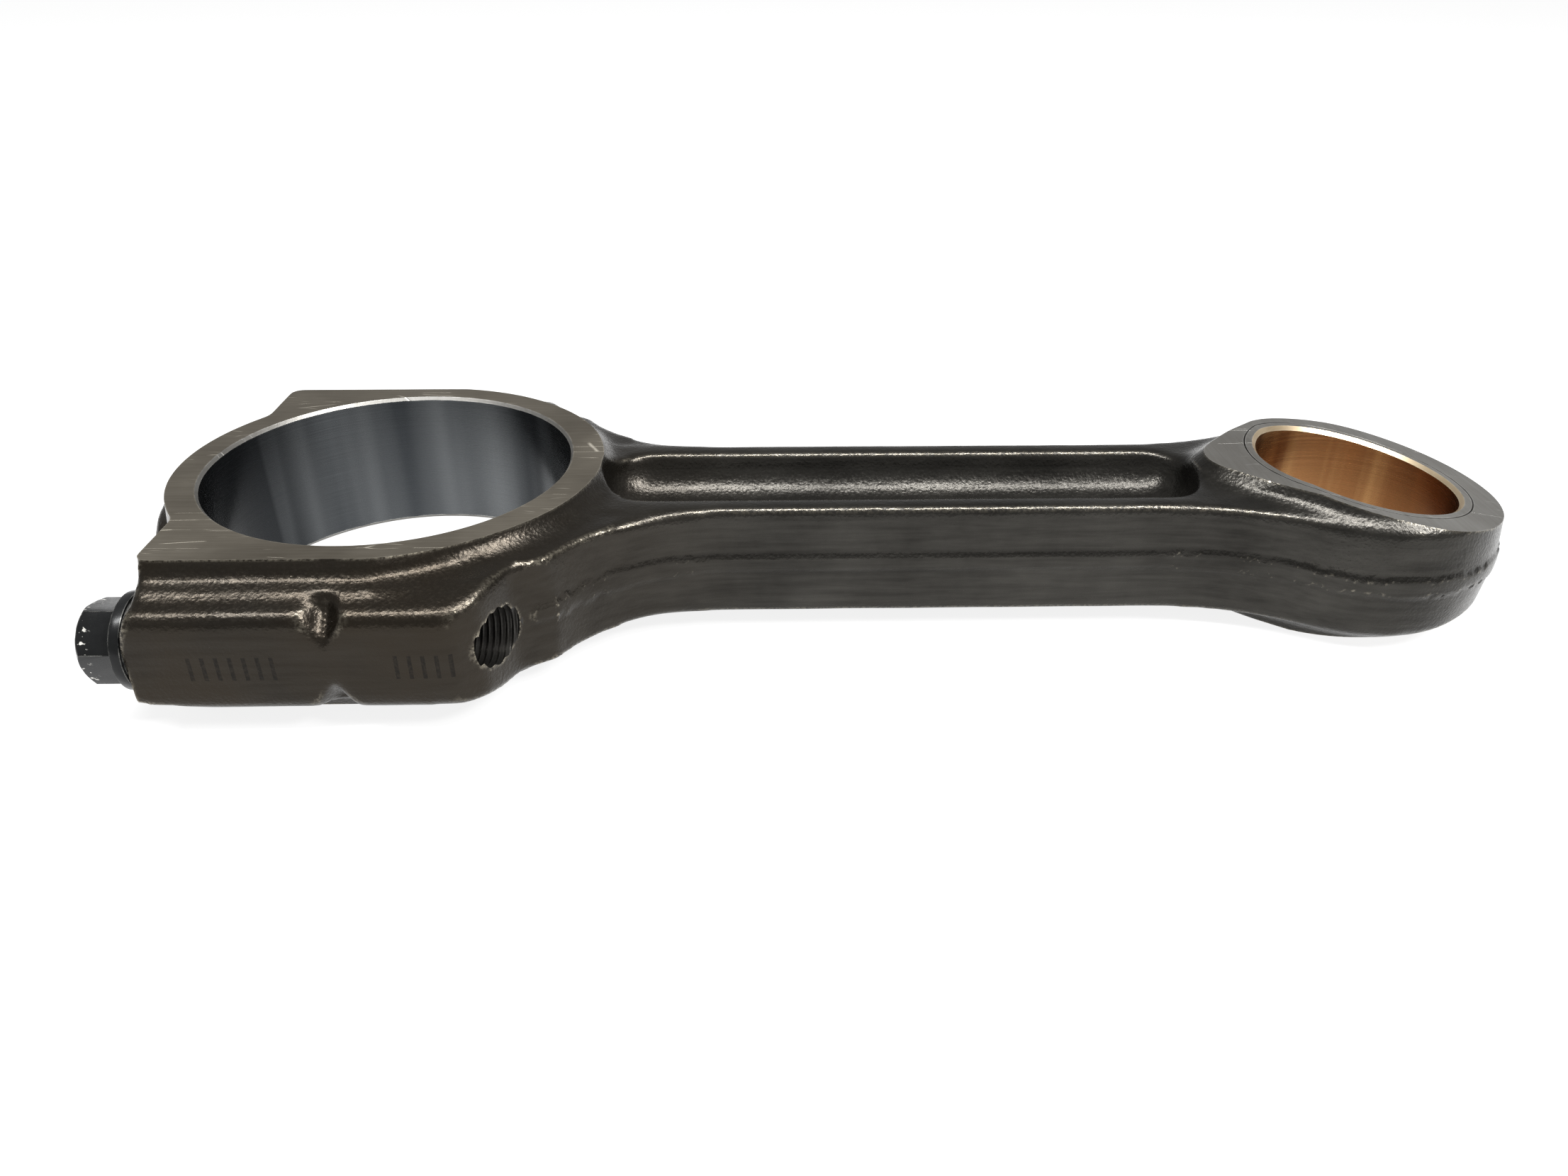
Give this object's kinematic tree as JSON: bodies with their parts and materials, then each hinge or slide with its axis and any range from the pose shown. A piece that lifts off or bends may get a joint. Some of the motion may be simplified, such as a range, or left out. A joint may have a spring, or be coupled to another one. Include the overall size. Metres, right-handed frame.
{
  "type": "connecting rod",
  "caption": "Forged I-section connecting rod with a bolted bearing cap at the big end and a bushed, wedge-shaped small end.",
  "frame": {"origin": "centre of the big-end bore at the middle of its thickness", "axes": "+Z along both bores; +X from the big end along the shank to the small end; +Y across the rod"},
  "size_m": [0.3055, 0.114, 0.034],
  "materials": {
    "rod_forging": "shot-blasted forged steel, machined on its thrust faces and bores",
    "bearing_cap": "shot-blasted forged steel, machined on its thrust faces and bore",
    "cap_bolt": "black oxide steel, lightly oiled",
    "small_end_bush": "steel-backed bronze, bored"
  },
  "bodies": {
    "rod": {"rod_forging": "rod_forging", "small_end_bush": "small_end_bush"},
    "cap": {"bearing_cap": "bearing_cap"},
    "bolt_near": {"cap_bolt_near": "cap_bolt"},
    "bolt_far": {"cap_bolt_far": "cap_bolt"}
  },
  "joints": [
    {"name": "cap_lift", "type": "slide", "parent": "rod", "child": "cap", "axis": [-1, 0, 0], "range_m": [0, 0.05]},
    {"name": "bolt_near_draw", "type": "slide", "parent": "cap", "child": "bolt_near", "axis": [-1, 0, 0], "range_m": [0, 0.075]},
    {"name": "bolt_far_draw", "type": "slide", "parent": "cap", "child": "bolt_far", "axis": [-1, 0, 0], "range_m": [0, 0.075]}
  ]
}
